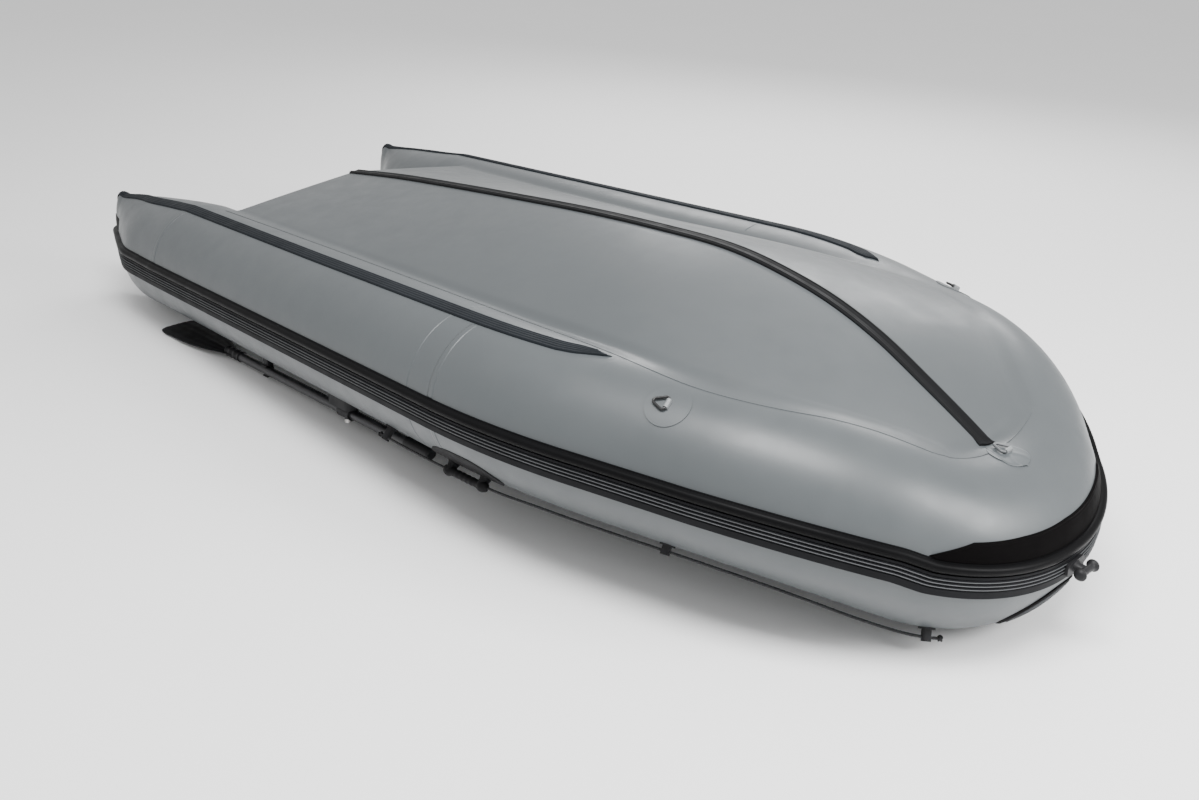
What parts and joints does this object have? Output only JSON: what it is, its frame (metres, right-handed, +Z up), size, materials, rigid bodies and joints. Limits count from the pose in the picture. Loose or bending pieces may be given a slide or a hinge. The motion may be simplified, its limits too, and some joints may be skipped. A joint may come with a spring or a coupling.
{
  "type": "inflatable boat",
  "caption": "Inflatable boat lying hull up: air tubes meeting in a rounded bow, V bottom with keel strake, rub band, transom, sliding seat, oars, valves and tow rings.",
  "frame": {"origin": "on the floor below the middle of the overall box, at the height of the lowest points: the bow tube and the oar blades", "axes": "+X towards the bow, +Y towards starboard, +Z up; the boat lies upside down with the hull up and the bow raised by 3.3 degrees"},
  "size_m": [4.1256, 1.828, 0.7826],
  "materials": {
    "tube_fabric": "satin coated fabric",
    "bottom_fabric": "satin coated fabric",
    "inner_fabric": "matte",
    "deck_foam": "matte",
    "transom_board": "painted satin",
    "holder_rubber": "matte",
    "motor_plate": "matte",
    "steel": "brushed",
    "fitting_plastic": "matte",
    "keel_rubber": "matte",
    "strake_rubber": "matte ribbed",
    "bead_rubber": "satin",
    "band_rubber": "matte grooved",
    "guard_rubber": "matte",
    "pad_rubber": "matte textured",
    "ring_patch": "satin",
    "ring_steel": "satin",
    "handle_rubber": "matte",
    "lifeline_cord": "braided",
    "oar_shaft": "anodised",
    "oar_plastic": "matte",
    "seat_board": "painted satin",
    "slider_metal": "satin",
    "valve_plastic": "matte",
    "valve_pin": "satin"
  },
  "bodies": {
    "hull": {"bow_cleat": "fitting_plastic", "bow_cleat_base": "fitting_plastic", "bow_guard": "guard_rubber", "bow_step_pad": "pad_rubber", "bow_tube": "tube_fabric", "carry_handles": "handle_rubber", "chamber_baffles": "inner_fabric", "deck_mat": "deck_foam", "drain_socket": "fitting_plastic", "floor_webs": "inner_fabric", "handle_pads": "handle_rubber", "hull_bottom": "bottom_fabric", "inner_motor_plate": "motor_plate", "keel_strake": "keel_rubber", "motor_plate_bolts": "steel", "oar_clips": "fitting_plastic", "outer_motor_plate": "motor_plate", "port_lifeline": "lifeline_cord", "port_side_tube": "tube_fabric", "port_stern_cone": "tube_fabric", "port_strake": "strake_rubber", "rope_holders": "holder_rubber", "rowlock_bases": "holder_rubber", "rowlock_pins": "steel", "rub_band": "band_rubber", "rub_bead": "bead_rubber", "seat_rails": "holder_rubber", "starboard_lifeline": "lifeline_cord", "starboard_side_tube": "tube_fabric", "starboard_stern_cone": "tube_fabric", "starboard_strake": "strake_rubber", "stern_end_knobs": "guard_rubber", "stern_end_patches": "guard_rubber", "tow_ring_loops": "ring_patch", "tow_ring_patches": "ring_patch", "transom": "transom_board", "transom_holders": "holder_rubber", "valve_bodies": "valve_plastic"},
    "bench_seat": {"bench_seat": "seat_board", "seat_sliders": "slider_metal"},
    "port_oar": {"port_oar_shaft": "oar_shaft", "port_oar_blade": "oar_plastic", "port_oar_grip": "oar_plastic", "port_oar_collar": "oar_plastic"},
    "port_tow_ring": {"port_tow_ring": "ring_steel"},
    "starboard_oar": {"starboard_oar_shaft": "oar_shaft", "starboard_oar_blade": "oar_plastic", "starboard_oar_grip": "oar_plastic", "starboard_oar_collar": "oar_plastic"},
    "starboard_tow_ring": {"starboard_tow_ring": "ring_steel"},
    "bow_tow_ring": {"bow_tow_ring": "ring_steel"},
    "drain_plug": {"drain_plug": "fitting_plastic"},
    "port_valve_cap": {"port_valve_cap": "valve_plastic"},
    "port_valve_pin": {"port_valve_pin": "valve_pin"},
    "starboard_valve_cap": {"starboard_valve_cap": "valve_plastic"},
    "starboard_valve_pin": {"starboard_valve_pin": "valve_pin"},
    "bow_valve_cap": {"bow_valve_cap": "valve_plastic"},
    "bow_valve_pin": {"bow_valve_pin": "valve_pin"},
    "floor_valve_cap": {"floor_valve_cap": "valve_plastic"},
    "floor_valve_pin": {"floor_valve_pin": "valve_pin"}
  },
  "joints": [
    {"name": "seat_slide", "type": "slide", "parent": "hull", "child": "bench_seat", "axis": [0.9984, 0, 0.0572], "range_m": [-0.25, 0.25]},
    {"name": "port_oar_swing", "type": "hinge", "parent": "hull", "child": "port_oar", "pos_m": [-0.20675, -0.735, 0.07602], "axis": [-0.0572, 0, 0.9984], "range_deg": [0, 100]},
    {"name": "starboard_oar_swing", "type": "hinge", "parent": "hull", "child": "starboard_oar", "pos_m": [-0.20675, 0.735, 0.07602], "axis": [0.0572, 0, -0.9984], "range_deg": [0, 100]},
    {"name": "port_ring_fold", "type": "hinge", "parent": "hull", "child": "port_tow_ring", "pos_m": [1.19085, -0.65918, 0.59431], "axis": [-0.237, 0.8323, 0.5011], "range_deg": [0, 165]},
    {"name": "starboard_ring_fold", "type": "hinge", "parent": "hull", "child": "starboard_tow_ring", "pos_m": [1.19085, 0.65918, 0.59431], "axis": [0.237, 0.8323, -0.5011], "range_deg": [0, 165]},
    {"name": "bow_ring_fold", "type": "hinge", "parent": "hull", "child": "bow_tow_ring", "pos_m": [1.78197, 0, 0.47246], "axis": [0, 1, 0], "range_deg": [0, 165]},
    {"name": "drain_plug_turn", "type": "hinge", "parent": "hull", "child": "drain_plug", "pos_m": [-1.22606, -0.33, 0.36022], "axis": [-0.9984, 0, -0.0572], "range_deg": [0, 90]},
    {"name": "port_cap_turn", "type": "hinge", "parent": "hull", "child": "port_valve_cap", "pos_m": [-1.04949, -0.49503, 0.09984], "axis": [0.0468, 0.5736, -0.8178], "range_deg": [0, 90]},
    {"name": "port_pin_press", "type": "slide", "parent": "hull", "child": "port_valve_pin", "axis": [-0.0468, -0.5736, 0.8178], "range_m": [0, 0.005], "stiffness_N_per_m": 200, "springref_m": -0.002},
    {"name": "starboard_cap_turn", "type": "hinge", "parent": "hull", "child": "starboard_valve_cap", "pos_m": [-1.04949, 0.49503, 0.09984], "axis": [0.0468, -0.5736, -0.8178], "range_deg": [0, 90]},
    {"name": "starboard_pin_press", "type": "slide", "parent": "hull", "child": "starboard_valve_pin", "axis": [-0.0468, 0.5736, 0.8178], "range_m": [0, 0.005], "stiffness_N_per_m": 200, "springref_m": -0.002},
    {"name": "bow_cap_turn", "type": "hinge", "parent": "hull", "child": "bow_valve_cap", "pos_m": [1.62683, 0, 0.04606], "axis": [-0.5979, 0, -0.8015], "range_deg": [0, 90]},
    {"name": "bow_pin_press", "type": "slide", "parent": "hull", "child": "bow_valve_pin", "axis": [0.5979, 0, 0.8015], "range_m": [0, 0.005], "stiffness_N_per_m": 200, "springref_m": -0.002},
    {"name": "floor_cap_turn", "type": "hinge", "parent": "hull", "child": "floor_valve_cap", "pos_m": [-1.11656, -0.25, 0.39654], "axis": [0.0572, 0, -0.9984], "range_deg": [0, 90]},
    {"name": "floor_pin_press", "type": "slide", "parent": "hull", "child": "floor_valve_pin", "axis": [-0.0572, 0, 0.9984], "range_m": [0, 0.005], "stiffness_N_per_m": 200, "springref_m": -0.002}
  ]
}
